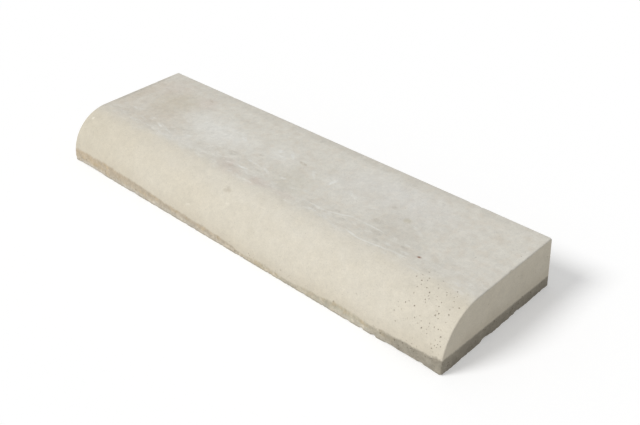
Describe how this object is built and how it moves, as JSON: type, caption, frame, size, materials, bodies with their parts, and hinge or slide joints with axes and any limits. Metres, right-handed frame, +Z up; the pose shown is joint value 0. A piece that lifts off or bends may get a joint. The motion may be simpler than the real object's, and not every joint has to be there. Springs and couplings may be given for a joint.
{
  "type": "concrete kerb stone",
  "caption": "Precast concrete kerb stone with one long edge rounded from the top down to a low lip, flat foot, back and ends.",
  "frame": {"origin": "middle of the foot, on the ground", "axes": "+X along the stone, +Y from the rounded edge towards the back, +Z up"},
  "size_m": [1, 0.3, 0.1],
  "materials": {
    "concrete": "cream-grey cast concrete, fine and smooth off the mould, with small air pores, a whitish bloom and grey scuffs on the top, and a darker, coarser band along the foot"
  },
  "bodies": {
    "root": {"kerb_stone": "concrete"}
  },
  "joints": []
}
